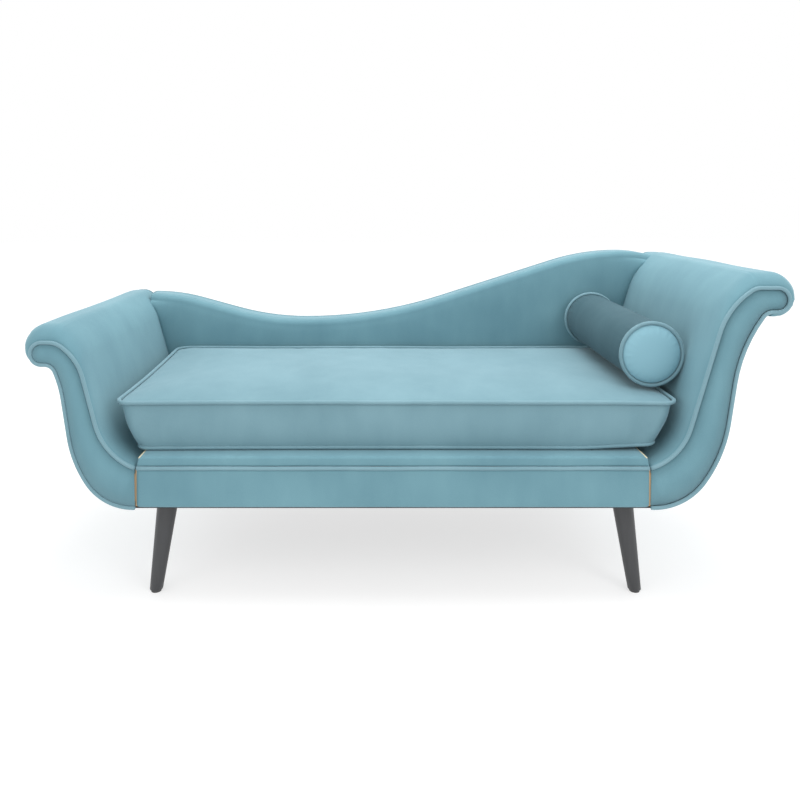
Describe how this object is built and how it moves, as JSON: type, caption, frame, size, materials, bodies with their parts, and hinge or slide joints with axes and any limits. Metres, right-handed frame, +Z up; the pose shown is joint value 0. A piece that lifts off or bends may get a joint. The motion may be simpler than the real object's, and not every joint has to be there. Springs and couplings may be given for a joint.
{
  "type": "chaise longue",
  "caption": "Velvet chaise longue with rolled scroll arms, a low wavy back, a loose seat cushion, a loose bolster and splayed tapered legs.",
  "frame": {"origin": "on the floor, under the centre of the object's box", "axes": "+Z up, +X along the seat towards the higher arm, +Y from the open front to the back"},
  "size_m": [1.797, 0.723, 0.78],
  "materials": {
    "velvet": "satin",
    "cushion_velvet": "satin",
    "bolster_velvet": "satin",
    "piping_velvet": "satin",
    "leg_wood": "satin",
    "frame_timber": "matte",
    "webbing": "matte",
    "foam": "matte",
    "dust_cloth": "matte",
    "steel": "satin",
    "glide_plastic": "matte"
  },
  "bodies": {
    "frame": {"back_posts": "frame_timber", "back_rail": "frame_timber", "back_top_rail": "frame_timber", "back_top_strip": "velvet", "base_front": "velvet", "base_piping": "piping_velvet", "corner_blocks": "frame_timber", "deck_cover": "velvet", "deck_foam": "foam", "dust_cover": "dust_cloth", "front_left_leg": "leg_wood", "front_rail": "frame_timber", "front_right_leg": "leg_wood", "inside_back": "velvet", "left_arm_facing": "velvet", "left_arm_pad": "velvet", "left_arm_rail": "frame_timber", "left_cross_rail": "frame_timber", "left_end_rail": "frame_timber", "left_facing_piping": "piping_velvet", "left_front_gable": "frame_timber", "left_lower_rail": "frame_timber", "left_outside_arm": "velvet", "left_rear_gable": "frame_timber", "left_scroll_rail": "frame_timber", "leg_bolts": "steel", "leg_glides": "glide_plastic", "leg_plates": "steel", "outside_back": "velvet", "rear_left_leg": "leg_wood", "rear_right_leg": "leg_wood", "right_arm_facing": "velvet", "right_arm_pad": "velvet", "right_arm_rail": "frame_timber", "right_cross_rail": "frame_timber", "right_end_rail": "frame_timber", "right_facing_piping": "piping_velvet", "right_front_gable": "frame_timber", "right_lower_rail": "frame_timber", "right_outside_arm": "velvet", "right_rear_gable": "frame_timber", "right_scroll_rail": "frame_timber", "webbing_long_straps": "webbing", "webbing_straps": "webbing"},
    "seat_cushion": {"seat_cushion_cover": "cushion_velvet", "seat_cushion_filling": "foam", "cushion_bottom_piping": "piping_velvet", "cushion_top_piping": "piping_velvet"},
    "bolster": {"bolster_cover": "bolster_velvet", "bolster_filling": "foam", "bolster_piping": "piping_velvet"}
  },
  "joints": [
    {"name": "cushion_lift", "type": "slide", "parent": "frame", "child": "seat_cushion", "axis": [0, 0, 1], "range_m": [0, 0.45]},
    {"name": "bolster_lift", "type": "slide", "parent": "seat_cushion", "child": "bolster", "axis": [0, 0, 1], "range_m": [0, 0.45]}
  ]
}
